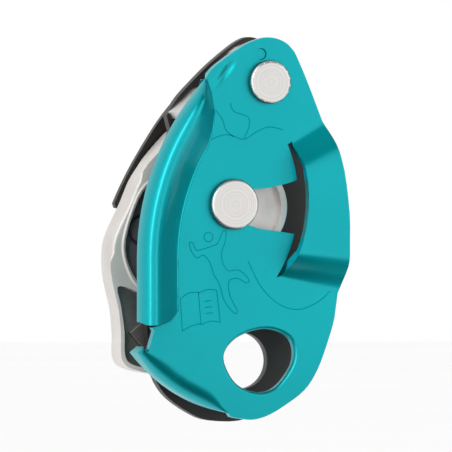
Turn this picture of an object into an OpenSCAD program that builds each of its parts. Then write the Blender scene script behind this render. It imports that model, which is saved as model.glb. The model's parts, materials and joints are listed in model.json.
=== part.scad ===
// Cam-type rope descender. The front side plate swings open on the top rivet, a grooved
// cam on the main pin squeezes the rope, and a folding lever on the back turns the cam.
// X is right, Z is up and the front looks along -Y. The origin is the centre of the
// attachment hole in the fixed side plate.

/* [Plates] */
// Thickness of the swinging front plate
front_t = 2.5; // [2:0.1:2.8]
// Thickness of the fixed rear plate
fixed_t = 3; // [2.6:0.1:3.2]
// Free space between the two plates
channel = 12; // [11.8:0.1:12.4]
// Radius of the attachment hole in the fixed plate
attach_r = 7.5; // [6.5:0.1:7.6]
// Height of the raised band over the plate
band_rise = 5.5; // [5.2:0.1:6.5]
// Height of the rolled lip over the plate
lip_rise = 6.5; // [5:0.1:8]
// Depth that the lower left edge is folded back
flange_depth = 7; // [4:0.1:7.5]

/* [Pivots] */
// Top rivet, to the right of the attachment hole
rivet_x = 2.6; // [2:0.1:3]
// Top rivet, above the attachment hole
rivet_z = 73.5; // [73:0.1:74]
// Radius of the rivet's shank
rivet_r = 4; // [3.5:0.1:4.2]
// Radius of the rivet's head
rivet_head_r = 5.7; // [5.2:0.1:6.2]
// Cam axle, to the right of the attachment hole
axle_x = -7.4; // [-7.6:0.1:-7.2]
// Cam axle, above the attachment hole
axle_z = 41.3; // [41:0.1:41.6]
// Radius of the cam axle
axle_r = 4; // [3.8:0.1:4.2]
// Radius of the cam axle's front head
axle_head_r = 6.65; // [6:0.05:6.8]
// Radial clearance of each running fit
fit = 0.05; // [0.02:0.01:0.1]

/* [Lever] */
// Lever pivot, to the right of the attachment hole
pivot_x = -12.2; // [-12.4:0.1:-12]
// Lever pivot, above the attachment hole
pivot_z = 54.9; // [54.7:0.1:55.1]
// Radius of the lever's pivot pin
pivot_r = 3; // [2.6:0.1:3.2]
// Outer radius of the lever's head
lever_head_r = 6.9; // [6.8:0.1:7]
// Front face of the lever, behind the middle of the fixed plate
lever_front = 2.4; // [2.2:0.1:2.6]
// Back face of the lever
lever_back = 12; // [11.6:0.1:12.2]

/* [Hidden] */
$fn = 64;
fixed_front = -fixed_t / 2;
fixed_back = fixed_t / 2;
front_back = fixed_front - channel;
front_face = front_back - front_t;
head_gap = 0.05;
head_t = 2;
slot_half = 5.4;
swing_r = norm([rivet_x - axle_x, rivet_z - axle_z]);
swing_a = atan2(axle_x - rivet_x, rivet_z - axle_z);

lip_x = 64.3;
lip_z = 20;
lip_r = 100;
lip_w = 13;
lip_low = 185.7;
lip_high = 151.8;
lip_sheet = 2.3;

bend_x = 3.2;
bend_z = 38.3;
bend_r = 54;

crank_front = 2.2;
crank_back = 5.2;
crank_head_r = 6.2;
crank_hub_r = 7;
lever_clear = 5.9;
lever_opens = 110;
crank_reach = norm([pivot_z - axle_z, pivot_x - axle_x]);
crank_a = atan2(pivot_z - axle_z, pivot_x - axle_x);
lever_floor = 9.6;
pocket_floor = 5.2;
cover_front = 13.3;
cover_back = 15.3;
cover_wall = 2;
cover_left = [[-30.2, 41.6], [-28.1, 46.1], [-24.7, 52.4], [-19.4, 60.8], [-14.9, 66.8], [-9, 73], [-1.5, 79.4]];
cover_right = [[6, 80], [10.4, 75], [12.8, 66], [13.4, 52], [12.2, 38], [7, 29.6], [-2, 25.4],
    [-10, 24.6]];
cover_foot = [[-13.6, 27], [-15.6, 34], [-22, 38.6], [-29.8, 40.4]];

cam_front = front_back + 0.35;
cam_back = fixed_front - 0.35;
cam_hub_r = 9.2;
cam_disc_r = 12.4;

screw_r = 1.5;
friction_screws = [[-8.6, 70.6], [-15.2, 67.8]];
friction_screw_r = 1.2;
cover_posts = [[8, 62], [7.5, 36.5], [-9, 29.5]];
insert_screw_spots = [[-21.8, 42.5], [-21.8, 24.5]];
spacer_pins = [[-1.4, 81], [6.7, 80.7]];
anchor_a = 200;
stop_x = 1.9;
stop_z = 47.4;

// Point between b and c on a smooth curve through a, b, c and d.
function blend_point(a, b, c, d, t) =
    0.5 * (2 * b + (c - a) * t + (2 * a - 5 * b + 4 * c - d) * t * t + (3 * b - a - 3 * c + d) * t * t * t);

// Smooth open curve through points, with steps pieces between neighbours.
function open_curve(points, steps = 4) =
    let (last = len(points) - 1)
    concat([for (i = [0 : last - 1], s = [0 : steps - 1])
        blend_point(points[max(i - 1, 0)], points[i], points[i + 1], points[min(i + 2, last)], s / steps)],
        [points[last]]);

// Smooth closed curve through points.
function closed_curve(points, steps = 4) =
    let (count = len(points))
    [for (i = [0 : count - 1], s = [0 : steps - 1])
        blend_point(points[(i + count - 1) % count], points[i], points[(i + 1) % count],
            points[(i + 2) % count], s / steps)];

// Points on an arc from angle a0 to a1.
function arc(x, z, r, a0, a1, steps = 10) =
    [for (i = [0 : steps]) let (a = a0 + (a1 - a0) * i / steps) [x + r * cos(a), z + r * sin(a)]];

// Points of a coil of wire that winds up along its own axis.
function coil_ring(r, pitch, turns, wire_r, i, rings, sides) =
    let (a = 360 * turns * i / rings)
    [for (j = [0 : sides - 1]) let (b = 360 * j / sides, rr = r + wire_r * cos(b))
        [rr * cos(a), rr * sin(a), pitch * turns * i / rings + wire_r * sin(b)]];

// A flat outline drawn in X and Z, given thickness from y0 back to y1.
module slab(y0, y1) {
    translate([0, y1, 0])
        rotate([90, 0, 0])
            linear_extrude(y1 - y0)
                children();
}

// A round bar along Y.
module bar(x, z, r, y0, y1) {
    translate([x, y1, z])
        rotate([90, 0, 0])
            cylinder(r = r, h = y1 - y0);
}

// A cone along Y, r0 at y0 and r1 at y1.
module cone(x, z, r0, r1, y0, y1) {
    translate([x, y1, z])
        rotate([90, 0, 0])
            cylinder(r1 = r1, r2 = r0, h = y1 - y0);
}

// A flat ring along Y.
module ring(x, z, inner, outer, y0, y1) {
    difference() {
        bar(x, z, outer, y0, y1);
        bar(x, z, inner, y0 - 1, y1 + 1);
    }
}

// Coil spring along Y as one swept wire.
module coil(x, z, r, wire_r, turns, y0, y1) {
    sides = 8;
    rings = ceil(turns * 20);
    pitch = (y1 - y0 - 2 * wire_r) / turns;
    points = [for (i = [0 : rings]) each coil_ring(r, pitch, turns, wire_r, i, rings, sides)];
    walls = [for (i = [0 : rings - 1], j = [0 : sides - 1])
        [i * sides + j, i * sides + (j + 1) % sides, (i + 1) * sides + (j + 1) % sides, (i + 1) * sides + j]];
    start = [for (j = [sides - 1 : -1 : 0]) j];
    end = [for (j = [0 : sides - 1]) rings * sides + j];
    translate([x, y1 - wire_r, z])
        rotate([90, 0, 0])
            polyhedron(points, concat(walls, [start, end]), convexity = 6);
}

// ---------------------------------------------------------------- front plate

// Outline of the flat part of the front plate.
module front_outline() {
    polygon(concat(
        open_curve([[-14.6, 75.4], [-9.8, 79.6], [-3.1, 83.8], [2.1, 85.3], [7.4, 83.9], [10.4, 80.4],
            [13.6, 73.3], [17.4, 64.2], [20.7, 56.6], [22.7, 44.5], [23.2, 33], [22.8, 21.5],
            [19.6, 5.7], [12.6, -7.7], [2.1, -14.6], [-8.4, -14.4]]),
        arc(bend_x, bend_z, bend_r - 0.8, 254, 232),
        [[-33, 2.2], [-29.6, 8.3], [-28.2, 11]],
        arc(lip_x, lip_z, lip_r - lip_w + 1.1, lip_low - 0.4, lip_high + 1),
        arc(lip_x, lip_z, lip_r - 1, lip_high + 0.4, lip_high - 2.6, 3)));
}

// Rounded D of the front plate's attachment hole.
module front_hole() {
    polygon(closed_curve([[-9.8, 0.7], [-7.4, 5.2], [-2, 7.9], [3.6, 8.3], [8.4, 6.2], [9.9, 2.4],
        [8.8, -2], [4.4, -7.1], [-1, -8.1], [-6.6, -5.6]]));
}

// Arc-shaped slot that the axle's neck leaves through as the plate swings.
module neck_slot() {
    translate([rivet_x, rivet_z])
        intersection() {
            difference() {
                circle(r = swing_r + slot_half);
                circle(r = swing_r - slot_half);
            }
            polygon([[0, 0], 80 * [sin(swing_a), -cos(swing_a)], 80 * [0.9, -1], 80 * [1, -0.2]]);
        }
    translate([axle_x, axle_z])
        circle(r = slot_half);
}

// Where the sheet is pushed out into the band, right of the curved cut.
module band_area(cut_r, grow = 0) {
    difference() {
        polygon([[4, 18.6 - grow], [30, 18.6 - grow], [30, 61 + grow], [4, 61 + grow]]);
        translate([-26, 42.5])
            circle(r = cut_r);
    }
}

// Section of the band, drawn in Y and Z: two ramps and a flat top.
module band_section() {
    top = front_face - band_rise;
    under = front_back - band_rise;
    polygon([[front_face, 17.6], [front_face, 18.6], [top, 25.6], [top, 56], [front_face, 61],
        [front_face, 62], [front_back, 62], [front_back, 60.4], [under, 54.6], [under, 27.2],
        [front_back, 20.2], [front_back, 17.6]]);
}

// Section of the rolled lip as radius and height. Its foot is buried in the plate's thickness.
module lip_section() {
    middle = lip_r - lip_w / 2;
    inner_w = lip_w / 2 - lip_sheet;
    foot = -front_face - 0.5;
    polygon(concat(
        [for (a = [0 : 10 : 180]) [middle - lip_w / 2 * cos(a), foot + (lip_rise + 0.5) * sin(a)]],
        [[lip_r, foot - 0.9], [lip_r - lip_sheet, foot - 0.9]],
        [for (a = [180 : -10 : 0])
            [middle - inner_w * cos(a), foot + (lip_rise + 0.5 - lip_sheet) * sin(a)]],
        [[lip_r - lip_w + lip_sheet, foot - 0.9], [lip_r - lip_w, foot - 0.9]]));
}

// The rolled lip along the plate's left edge.
module lip() {
    translate([lip_x, 0, lip_z])
        rotate([90, 0, 0])
            rotate([0, 0, lip_high])
                rotate_extrude(angle = lip_low - lip_high, $fn = 96)
                    lip_section();
}

// The folded-back edge at the lower left.
module flange() {
    tip = -front_face - flange_depth;
    translate([bend_x, 0, bend_z])
        rotate([90, 0, 0])
            rotate([0, 0, 231])
                rotate_extrude(angle = 26, $fn = 96)
                    polygon([[bend_r - front_t, tip], [bend_r, tip], [bend_r, -front_face - 1.4],
                        [bend_r - 0.5, -front_face - 0.4], [bend_r - 1.6, -front_face],
                        [bend_r - 4, -front_face], [bend_r - 4, -front_back], [bend_r - front_t, -front_back]]);
}

module moving_side_plate() {
    color([0, 0.68, 0.73])
        difference() {
            union() {
                difference() {
                    slab(front_face, front_back)
                        front_outline();
                    slab(front_face - 1, front_back + 1)
                        band_area(36.9);
                    slab(front_face - 1, front_back + 1)
                        neck_slot();
                }
                intersection() {
                    slab(front_face - band_rise - 1, front_back)
                        intersection() {
                            front_outline();
                            band_area(37.9, 0.6);
                        }
                    rotate([90, 0, 90])
                        linear_extrude(40)
                            band_section();
                }
                lip();
                flange();
            }
            slab(front_face - 1, front_back + 1)
                front_hole();
            bar(rivet_x, rivet_z, rivet_r + fit, front_face - 1, front_back + 1);
            bar(0.45, 80.9, 1.5, front_face - 1, front_face + 0.8);
        }
}

// ---------------------------------------------------------------- fixed side

// Outline of the fixed plate. Its left edge is cut back to leave the lever free.
module fixed_outline() {
    polygon(concat(
        open_curve([[-20.8, 64.8], [-17.6, 69.6], [-13.2, 74.2], [-9, 78.2], [-4.2, 82.1], [-0.4, 84.7],
            [2.8, 85.6], [7.4, 84],
            [10.6, 80.2], [13.8, 73.3], [17.3, 64.2], [22.4, 52.2], [24.8, 37.4], [23.3, 21.9],
            [19.1, 5.7], [12.4, -7.9], [2.1, -15.2], [-8.4, -15.8], [-15, -13.4], [-21.5, -8.6],
            [-25, -2], [-26.4, 8]]),
        open_curve([[-26.6, 20], [-26.6, 38], [-24.6, 48], [-21.4, 56], [-19.6, 60.4]], 3)));
}

module fixed_side_plate() {
    color([0.17, 0.14, 0.13])
        difference() {
            slab(fixed_front, fixed_back)
                fixed_outline();
            bar(0, 0, attach_r, fixed_front - 1, fixed_back + 1);
            bar(rivet_x, rivet_z, rivet_r, fixed_front - 1, fixed_back + 1);
            cone(rivet_x, rivet_z, rivet_r, rivet_r + 1.4, fixed_back - 1.4, fixed_back);
            bar(axle_x, axle_z, axle_r + 1.5, fixed_front - 1, fixed_back + 1);
            for (p = friction_screws) {
                bar(p[0], p[1], friction_screw_r, fixed_front - 1, fixed_back + 1);
                cone(p[0], p[1], friction_screw_r, friction_screw_r + 1.2, fixed_back - 1.2, fixed_back);
            }
            for (p = spacer_pins)
                bar(p[0], p[1], screw_r, fixed_front - 1, fixed_back + 1);
            for (p = cover_posts)
                bar(p[0], p[1], screw_r, fixed_front - 1, fixed_back + 1);
            bar(axle_x + 7.6 * cos(anchor_a), axle_z + 7.6 * sin(anchor_a), 0.9, fixed_front - 1,
                fixed_back + 1);
            bar(stop_x, stop_z, screw_r, fixed_front - 1, fixed_back + 1);
        }
}

module plate_rivet() {
    color([0.88, 0.88, 0.86])
        union() {
            bar(rivet_x, rivet_z, rivet_head_r, front_face - head_t + 0.5, front_face - head_gap);
            cone(rivet_x, rivet_z, rivet_head_r - 0.5, rivet_head_r, front_face - head_t, front_face - head_t + 0.5);
            bar(rivet_x, rivet_z, rivet_r, front_face - 1, fixed_back);
            cone(rivet_x, rivet_z, rivet_r, rivet_r + 1.4, fixed_back - 1.4, fixed_back);
        }
}

module rivet_sleeve() {
    color([0.7, 0.7, 0.7])
        ring(rivet_x, rivet_z, rivet_r, rivet_r + 1.3, front_back + 0.6, fixed_front);
}

module plate_wave_washer() {
    color([0.6, 0.6, 0.6])
        ring(rivet_x, rivet_z, rivet_r, rivet_r + 2.6, front_back + 0.05, front_back + 0.6);
}

// Light alloy block between the plates at the top.
module top_spacer() {
    color([0.87, 0.86, 0.85])
        difference() {
            slab(fixed_front - 7, fixed_front)
                polygon(closed_curve([[-5.1, 79.5], [-4, 81.3], [-2.5, 82.6], [-0.9, 83.4], [1.5, 84.1],
                    [4.2, 84.3], [7, 83], [9.8, 79.4], [9.6, 77], [5.4, 79.6], [0.6, 79.7], [-2.8, 77.6]]));
            for (p = spacer_pins)
                bar(p[0], p[1], screw_r, fixed_front - 8, fixed_front + 1);
        }
}

module spacer_pins() {
    color([0.75, 0.75, 0.75])
        for (p = spacer_pins)
            bar(p[0], p[1], screw_r, fixed_front - 6.9, fixed_back - 0.1);
}

// Hardened block that the cam squeezes the rope against.
module friction_block() {
    color([0.72, 0.7, 0.68])
        difference() {
            slab(front_back + 0.5, fixed_front)
                polygon(concat([[-20.4, 65.6], [-14, 71.8], [-7.4, 74], [-5, 71]],
                    arc(axle_x, axle_z, 25.6, 84, 118, 8)));
            for (p = friction_screws)
                bar(p[0], p[1], friction_screw_r, fixed_front - 8, fixed_front + 1);
        }
}

module friction_block_screws() {
    color([0.55, 0.55, 0.55])
        for (p = friction_screws)
            difference() {
                union() {
                    bar(p[0], p[1], friction_screw_r, fixed_front - 7.5, fixed_back);
                    cone(p[0], p[1], friction_screw_r, friction_screw_r + 1.2, fixed_back - 1.2, fixed_back);
                }
                bar(p[0], p[1], 0.9, fixed_back - 1.1, fixed_back + 1, $fn = 6);
            }
}

module cam_bush() {
    color([0.72, 0.55, 0.3])
        ring(axle_x, axle_z, axle_r + fit, axle_r + 1.5, fixed_front, fixed_back);
}

module spring_anchor_pin() {
    color([0.6, 0.6, 0.6])
        bar(axle_x + 7.6 * cos(anchor_a), axle_z + 7.6 * sin(anchor_a), 0.9, fixed_front - 3, fixed_back);
}

module cam_stop_pin() {
    color([0.6, 0.6, 0.6])
        bar(stop_x, stop_z, screw_r, fixed_front + 0.5, crank_back);
}

// ---------------------------------------------------------------- cam and crank

// Side view of the cam: a hub on the axle and a disc set off to the right.
module cam_outline() {
    translate([axle_x, axle_z])
        circle(r = cam_hub_r);
    translate([-3.6, 40.6])
        circle(r = cam_disc_r);
}

module cam() {
    middle = (cam_front + cam_back) / 2;
    color([0.85, 0.84, 0.82])
        difference() {
            slab(cam_front, cam_back)
                cam_outline();
            translate([-3.6, middle, 40.6])
                rotate([90, 0, 0])
                    rotate_extrude()
                        translate([cam_disc_r + 2.4, 0])
                            circle(r = 5);
            difference() {
                bar(-3.6, 40.6, cam_disc_r - 1.6, cam_front - 1, cam_front + 2.2);
                bar(axle_x, axle_z, cam_hub_r - 1, cam_front - 2, cam_front + 3);
            }
            bar(axle_x, axle_z, axle_r, cam_front - 1, cam_back + 1);
            bar(axle_x, axle_z, 8.7, cam_back - 3.6, cam_back + 1);
        }
}

module cam_axle() {
    color([0.9, 0.89, 0.88])
        union() {
            bar(axle_x, axle_z, axle_head_r, front_face - head_t + 0.5, front_face - head_gap);
            cone(axle_x, axle_z, axle_head_r - 0.5, axle_head_r, front_face - head_t, front_face - head_t + 0.5);
            bar(axle_x, axle_z, axle_r, front_face - 1, 9.8);
        }
}

module cam_return_spring() {
    color([0.5, 0.5, 0.52])
        coil(axle_x, axle_z, 5.6, 0.5, 2.5, cam_back - 3.2, cam_back - 0.1);
}

module thrust_washer() {
    color([0.75, 0.6, 0.35])
        ring(axle_x, axle_z, axle_r + fit, axle_r + 2.8, fixed_back, crank_front - 0.1);
}

// Side view of the crank: hub, arm and pivot eye.
module crank_outline() {
    translate([axle_x, axle_z])
        circle(r = crank_hub_r);
    translate([pivot_x, pivot_z])
        circle(r = crank_head_r);
    translate([axle_x, axle_z])
        rotate(crank_a)
            polygon([[0, -crank_hub_r + 0.2], [crank_reach, -crank_head_r + 0.2],
                [crank_reach, crank_head_r - 0.2], [0, crank_hub_r - 0.2]]);
}

module crank_arm() {
    color([0.8, 0.79, 0.78])
        difference() {
            slab(crank_front, crank_back)
                crank_outline();
            bar(axle_x, axle_z, axle_r, crank_front - 1, crank_back + 1);
            bar(pivot_x, pivot_z, pivot_r, crank_front - 1, crank_back + 1);
        }
}

module nut_washer() {
    color([0.75, 0.75, 0.75])
        ring(axle_x, axle_z, axle_r, axle_r + 2.6, crank_back, crank_back + 0.8);
}

module axle_nut() {
    color([0.7, 0.7, 0.7])
        difference() {
            bar(axle_x, axle_z, 6.2, crank_back + 0.8, 9.4, $fn = 6);
            bar(axle_x, axle_z, axle_r, crank_back, 12);
        }
}

module lever_pivot_pin() {
    color([0.85, 0.85, 0.84])
        union() {
            bar(pivot_x, pivot_z, pivot_r, crank_front, 12.9);
            bar(pivot_x, pivot_z, pivot_r + 1.2, crank_front - 0.2, crank_front);
        }
}

// ---------------------------------------------------------------- lever

// Side view of the folded lever: a grip, a neck and a round head on the pivot.
module lever_outline() {
    polygon(concat(
        open_curve([[-24.5, 52.1], [-27.5, 47.6], [-30.2, 41.4], [-34.1, 33.4], [-35.1, 28.5], [-34.9, 23],
            [-33.9, 18], [-32.8, 13.4], [-32.2, 6.9], [-32.2, 1.6], [-31.1, -0.9], [-28.6, -2.3],
            [-25, -3.1], [-21.1, -3.5], [-17.8, -2.6], [-16, 0.4], [-15.5, 8], [-15.3, 20], [-15.2, 30]]),
        [[-15.2, 43.6]],
        arc(pivot_x, pivot_z, lever_head_r, -52, 135, 28)));
}

// Recess that the moulded insert sits in.
module insert_outline(grow = 0) {
    polygon(closed_curve([[-23.6 - grow / 2, 46.6 + grow], [-27 - grow, 42.4], [-30.5 - grow, 32],
        [-29.7 - grow, 25.3], [-26.3, 20 - grow], [-21, 19.6 - grow], [-18.4 + grow, 23],
        [-18.2 + grow, 34], [-18.6 + grow, 43.4], [-20.4, 46.6 + grow]], 3));
}

// Lower pocket of the lever.
module pocket_outline() {
    polygon(closed_curve([[-33.2, 19.4], [-32.2, 14.6], [-31.2, 7.6], [-31.1, 2], [-29.6, -0.7],
        [-24.8, -1.9], [-20.2, -1.6], [-17.2, 3], [-17, 12.6], [-18.4, 16.2], [-22, 17.2],
        [-26.6, 17.8], [-30.2, 19.3]], 3));
}

// The crank's outline with room round it, seen from the pivot at an angle on the lever.
module crank_room(angle) {
    rotate(angle)
        polygon([[0, -crank_hub_r - 0.6], [crank_reach, -crank_hub_r - 0.6],
            [crank_reach, crank_hub_r + 0.6], [0, crank_hub_r + 0.6]]);
    rotate(angle)
        translate([crank_reach, 0])
            circle(r = crank_hub_r + 0.6);
}

// Space the crank sweeps over the lever, from folded to open.
module crank_sweep() {
    rest_a = crank_a - 180;
    translate([pivot_x, pivot_z]) {
        circle(r = crank_head_r + 0.7);
        crank_room(rest_a);
        crank_room(rest_a + lever_opens);
        polygon(concat([[0, 0]], arc(0, 0, crank_reach + crank_hub_r + 1, rest_a, rest_a + lever_opens, 12)));
    }
}

module lever_frame() {
    color([0.84, 0.83, 0.81])
        difference() {
            slab(lever_front, lever_back)
                lever_outline();
            slab(lever_front - 1, lever_clear)
                crank_sweep();
            slab(lever_front - 1, lever_floor)
                insert_outline(0.3);
            slab(lever_front - 1, pocket_floor)
                pocket_outline();
            bar(pivot_x, pivot_z, pivot_r + 1.2, lever_front - 1, lever_back + 1);
            bar(pivot_x, pivot_z, 5.7, lever_clear - 1, 9.2);
            for (p = insert_screw_spots)
                bar(p[0], p[1], screw_r, lever_front, lever_back + 1);
        }
}

module lever_bush() {
    color([0.72, 0.55, 0.3])
        ring(pivot_x, pivot_z, pivot_r + fit, pivot_r + 1.2, lever_clear, lever_back);
}

module lever_washer() {
    color([0.6, 0.6, 0.6])
        ring(pivot_x, pivot_z, pivot_r, pivot_r + 2.4, crank_back, lever_clear - 0.15);
}

module lever_spring() {
    color([0.5, 0.5, 0.52])
        coil(pivot_x, pivot_z, 4.95, 0.4, 2.5, 6.1, 9.1);
}

module pivot_clip() {
    color([0.55, 0.55, 0.55])
        ring(pivot_x, pivot_z, pivot_r, pivot_r + 1.6, lever_back + 0.1, 12.8);
}

module lever_insert() {
    color([0.28, 0.28, 0.31])
        difference() {
            slab(5.2, lever_floor)
                insert_outline();
            bar(-25.2, 34.5, 4.4, 4, 6.1);
            for (p = insert_screw_spots)
                bar(p[0], p[1], 1, 6.5, lever_floor + 1);
            slab(lever_front - 1, lever_clear)
                crank_sweep();
        }
}

module insert_badge() {
    color([0.2, 0.2, 0.22])
        bar(-25.2, 34.5, 4.3, 5.4, 6.1);
}

module insert_screws() {
    color([0.6, 0.6, 0.6])
        for (p = insert_screw_spots)
            union() {
                bar(p[0], p[1], screw_r, lever_floor, lever_back - 0.2);
                bar(p[0], p[1], 1, 6.6, lever_back - 0.2);
            }
}

// ---------------------------------------------------------------- rear cover

// Point p moved towards the middle of the guard.
function toward_middle(p, inset) = p + inset * ([1, 52] - p) / norm([1, 52] - p);

// Side view of the guard behind the crank.
module cover_outline() {
    polygon(concat(open_curve(concat(cover_left, cover_right)), open_curve(cover_foot)));
}

// The guard's wall, closed on the right and open on the left where the lever swings.
module cover_skirt() {
    polygon(concat(open_curve(cover_right),
        [for (i = [len(cover_right) - 1 : -1 : 0]) toward_middle(cover_right[i], cover_wall)]));
}

module rear_cover() {
    color([0.13, 0.12, 0.12])
        difference() {
            union() {
                slab(cover_front, cover_back)
                    cover_outline();
                slab(fixed_back, cover_front + 0.5)
                    cover_skirt();
                for (p = cover_posts)
                    bar(p[0], p[1], 3, fixed_back, cover_front + 0.5);
            }
            for (p = cover_posts) {
                bar(p[0], p[1], screw_r, fixed_back - 1, cover_back + 1);
                cone(p[0], p[1], screw_r, screw_r + 1.3, cover_back - 1.3, cover_back);
            }
        }
}

module cover_screws() {
    color([0.65, 0.65, 0.65])
        for (p = cover_posts)
            difference() {
                union() {
                    bar(p[0], p[1], screw_r, fixed_front + 0.2, cover_back - 0.6);
                    cone(p[0], p[1], screw_r, screw_r + 1.3, cover_back - 1.3, cover_back);
                }
                bar(p[0], p[1], 1.1, cover_back - 1, cover_back + 1, $fn = 6);
            }
}

fixed_side_plate();
moving_side_plate();
plate_rivet();
rivet_sleeve();
plate_wave_washer();
top_spacer();
spacer_pins();
friction_block();
friction_block_screws();
cam();
cam_axle();
cam_bush();
cam_return_spring();
spring_anchor_pin();
cam_stop_pin();
thrust_washer();
crank_arm();
nut_washer();
axle_nut();
lever_pivot_pin();
lever_washer();
lever_bush();
lever_spring();
pivot_clip();
lever_frame();
lever_insert();
insert_badge();
insert_screws();
rear_cover();
cover_screws();
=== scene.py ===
# %% [markdown]
# # A cam-type rope descender, finished for its looks
#
# The working model gives every part its place, size and motion. This script keeps that frame as it
# is and gives each part the edges, pressed shapes and finishes of the real thing. All lengths are
# in metres once they reach Blender. The values below are written in millimetres, because that is
# how the real parts are measured, and `mm` turns them into metres.

# %% Load the frame
import json
import math

import bmesh
import bpy
from mathutils import Matrix, Vector

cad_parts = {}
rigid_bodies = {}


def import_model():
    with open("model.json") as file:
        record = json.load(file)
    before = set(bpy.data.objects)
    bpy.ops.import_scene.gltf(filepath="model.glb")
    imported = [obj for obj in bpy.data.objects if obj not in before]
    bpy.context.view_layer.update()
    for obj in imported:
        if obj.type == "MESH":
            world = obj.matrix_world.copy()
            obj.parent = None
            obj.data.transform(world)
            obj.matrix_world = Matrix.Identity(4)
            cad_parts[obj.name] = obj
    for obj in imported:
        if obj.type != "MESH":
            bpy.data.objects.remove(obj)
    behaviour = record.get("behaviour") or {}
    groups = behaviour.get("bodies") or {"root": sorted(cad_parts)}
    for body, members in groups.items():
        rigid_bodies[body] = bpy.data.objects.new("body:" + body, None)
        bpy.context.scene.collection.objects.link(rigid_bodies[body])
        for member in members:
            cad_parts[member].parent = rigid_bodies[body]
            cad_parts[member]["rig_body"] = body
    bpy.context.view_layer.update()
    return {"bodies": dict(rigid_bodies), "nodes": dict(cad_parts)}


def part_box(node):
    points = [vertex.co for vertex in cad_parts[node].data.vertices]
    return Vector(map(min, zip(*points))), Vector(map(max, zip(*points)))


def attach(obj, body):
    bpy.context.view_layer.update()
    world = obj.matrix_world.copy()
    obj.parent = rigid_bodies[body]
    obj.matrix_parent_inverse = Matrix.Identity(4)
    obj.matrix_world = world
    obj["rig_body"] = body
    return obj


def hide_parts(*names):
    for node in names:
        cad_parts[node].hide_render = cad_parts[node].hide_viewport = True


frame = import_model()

MM = 0.001
bodies, nodes = frame["bodies"], frame["nodes"]
print("bodies:", ", ".join(bodies), "and", len(nodes), "parts")


def mm(x, y, z):
    """A point given in millimetres."""
    return Vector((x, y, z)) * MM


def middle_of(node):
    """The middle of a part's box, in millimetres."""
    low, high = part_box(node)
    return tuple((low[i] + high[i]) / 2 / MM for i in range(3))


def span_of(node, axis):
    """The lowest and highest value of a part along one axis, in millimetres."""
    low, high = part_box(node)
    return low[axis] / MM, high[axis] / MM


# %% [markdown]
# ## Where things are
#
# A few places steer the whole look. The two pins the front plate works round are read from the
# frame, so the looks follow the working model. The plate's own layer is set here to the same
# values as the working model's sheet, because the pressed shapes reach forward of it.

# %% Read the main places
rivet_x, _, rivet_z = middle_of("plate_rivet")
axle_x, _, axle_z = middle_of("cam_axle")
plate_back = -13.5
plate_t = 2.5
plate_front = plate_back - plate_t
print("rivet %.1f %.1f, axle %.1f %.1f" % (rivet_x, rivet_z, axle_x, axle_z))

# %% [markdown]
# ## The camera
#
# The device is seen from its left by twenty degrees, level with its middle, through a long lens so
# that near and far parts keep almost the same scale. It is made first so that every later step can
# be checked against it.

# %% Make the camera
VIEW_TURN = math.radians(-20)
VIEW_DISTANCE = 3.0
VIEW_WIDTH = 0.1189
aim = mm(-9.4, plate_front, 35.6)
camera_data = bpy.data.cameras.new("camera")
camera_data.sensor_width = 36
camera_data.lens = camera_data.sensor_width * VIEW_DISTANCE / VIEW_WIDTH
camera = bpy.data.objects.new("camera", camera_data)
camera.location = aim + Vector((math.sin(VIEW_TURN), -math.cos(VIEW_TURN), 0)) * VIEW_DISTANCE
camera.rotation_mode = "QUATERNION"
camera.rotation_quaternion = (aim - camera.location).to_track_quat("-Z", "Y")
camera_data.clip_start = 0.05
camera_data.clip_end = 20
bpy.context.scene.collection.objects.link(camera)
bpy.context.scene.camera = camera
print("lens %.0f mm" % camera_data.lens)

# %% [markdown]
# ## Effects that several finishes share
#
# Anodising, blasting, brushing and lathe work all leave fine marks. Each mark is a node group with
# named inputs, built once, so that a finish only states how strong and how fine it wants it. A
# group gives out a plain value or a normal, and the shader stays in the material.


# %% A helper that starts a node group
def new_group(name, inputs, outputs):
    """An empty shader group with float inputs (name, default) and outputs (name, kind)."""
    group = bpy.data.node_groups.new(name, "ShaderNodeTree")
    for label, default in inputs:
        socket = group.interface.new_socket(label, in_out="INPUT", socket_type="NodeSocketFloat")
        socket.default_value = default
    for label, kind in outputs:
        group.interface.new_socket(label, in_out="OUTPUT", socket_type=kind)
    return group, group.nodes.new("NodeGroupInput"), group.nodes.new("NodeGroupOutput")


def math_node(tree, operation, a=None, b=None, c=None):
    """A Math node whose inputs are sockets or numbers."""
    node = tree.nodes.new("ShaderNodeMath")
    node.operation = operation
    for slot, value in enumerate((a, b, c)):
        if value is None:
            continue
        if isinstance(value, bpy.types.NodeSocket):
            tree.links.new(value, node.inputs[slot])
        else:
            node.inputs[slot].default_value = value
    return node.outputs[0]


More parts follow.
